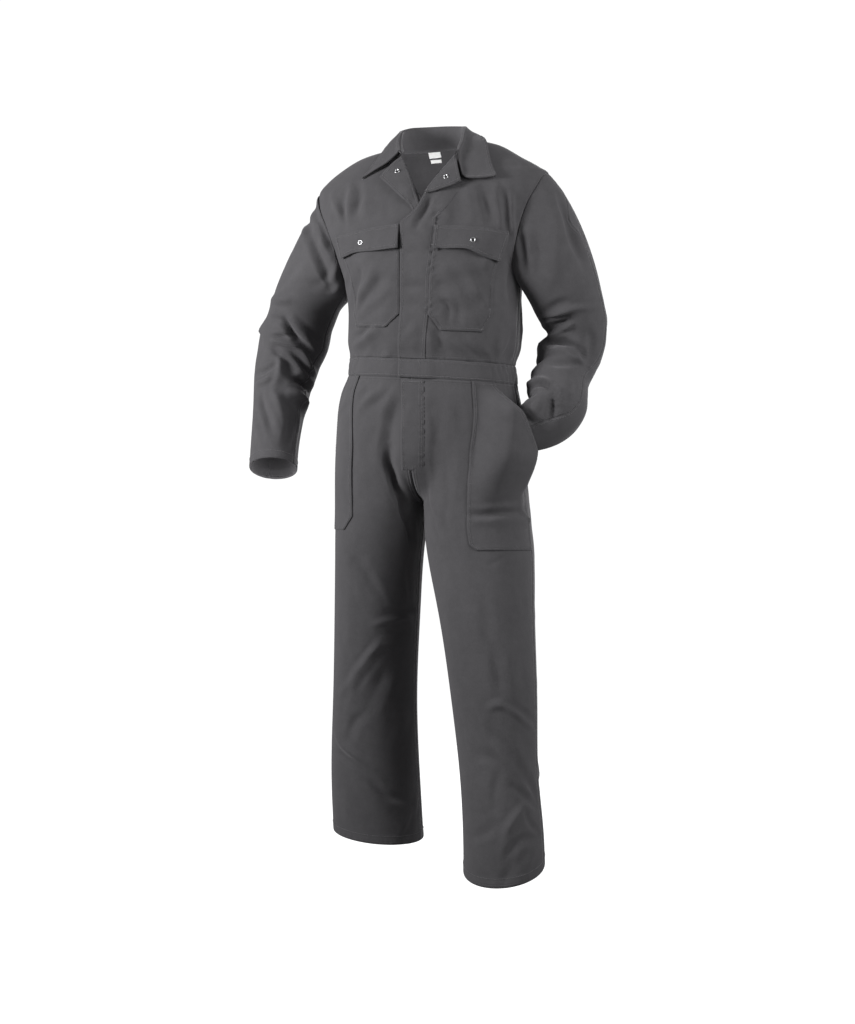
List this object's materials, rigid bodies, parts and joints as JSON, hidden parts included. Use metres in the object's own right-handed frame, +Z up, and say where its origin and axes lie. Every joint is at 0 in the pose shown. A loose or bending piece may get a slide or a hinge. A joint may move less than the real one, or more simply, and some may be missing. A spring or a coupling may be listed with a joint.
{
  "type": "boiler suit",
  "caption": "Hollow worn boiler suit with lapel collar, flapped chest pockets, gathered waist, slanted hip pockets and straight open legs, one sleeve end in a hip pocket.",
  "frame": {"origin": "centre of the neck opening at shoulder level, where the wearer's shoulders hold the suit", "axes": "+X towards the wearer's left, -Y the front, +Z up"},
  "size_m": [0.7342, 0.3764, 1.4925],
  "materials": {
    "twill_grey": "matt dark warm-grey cotton twill",
    "snap_steel": "satin nickel ring snap",
    "label_white": "white woven tape"
  },
  "bodies": {
    "root": {"back": "twill_grey", "chest_flap_left": "twill_grey", "chest_flap_right": "twill_grey", "chest_pocket_left": "twill_grey", "chest_pocket_right": "twill_grey", "collar": "twill_grey", "fly": "twill_grey", "front_left": "twill_grey", "front_right": "twill_grey", "hip_pocket_left": "twill_grey", "hip_pocket_right": "twill_grey", "label_main": "label_white", "label_size": "label_white", "lapel_left": "twill_grey", "lapel_right": "twill_grey", "placket": "twill_grey", "sleeve_left_under": "twill_grey", "sleeve_left_upper": "twill_grey", "sleeve_right_under": "twill_grey", "sleeve_right_upper": "twill_grey", "snap_flap_left": "snap_steel", "snap_flap_right": "snap_steel", "snap_lapel_left": "snap_steel", "snap_lapel_right": "snap_steel", "trouser_back_left": "twill_grey", "trouser_back_right": "twill_grey", "trouser_front_left": "twill_grey", "trouser_front_right": "twill_grey", "waistband_back": "twill_grey", "waistband_front_left": "twill_grey", "waistband_front_right": "twill_grey"}
  },
  "joints": []
}
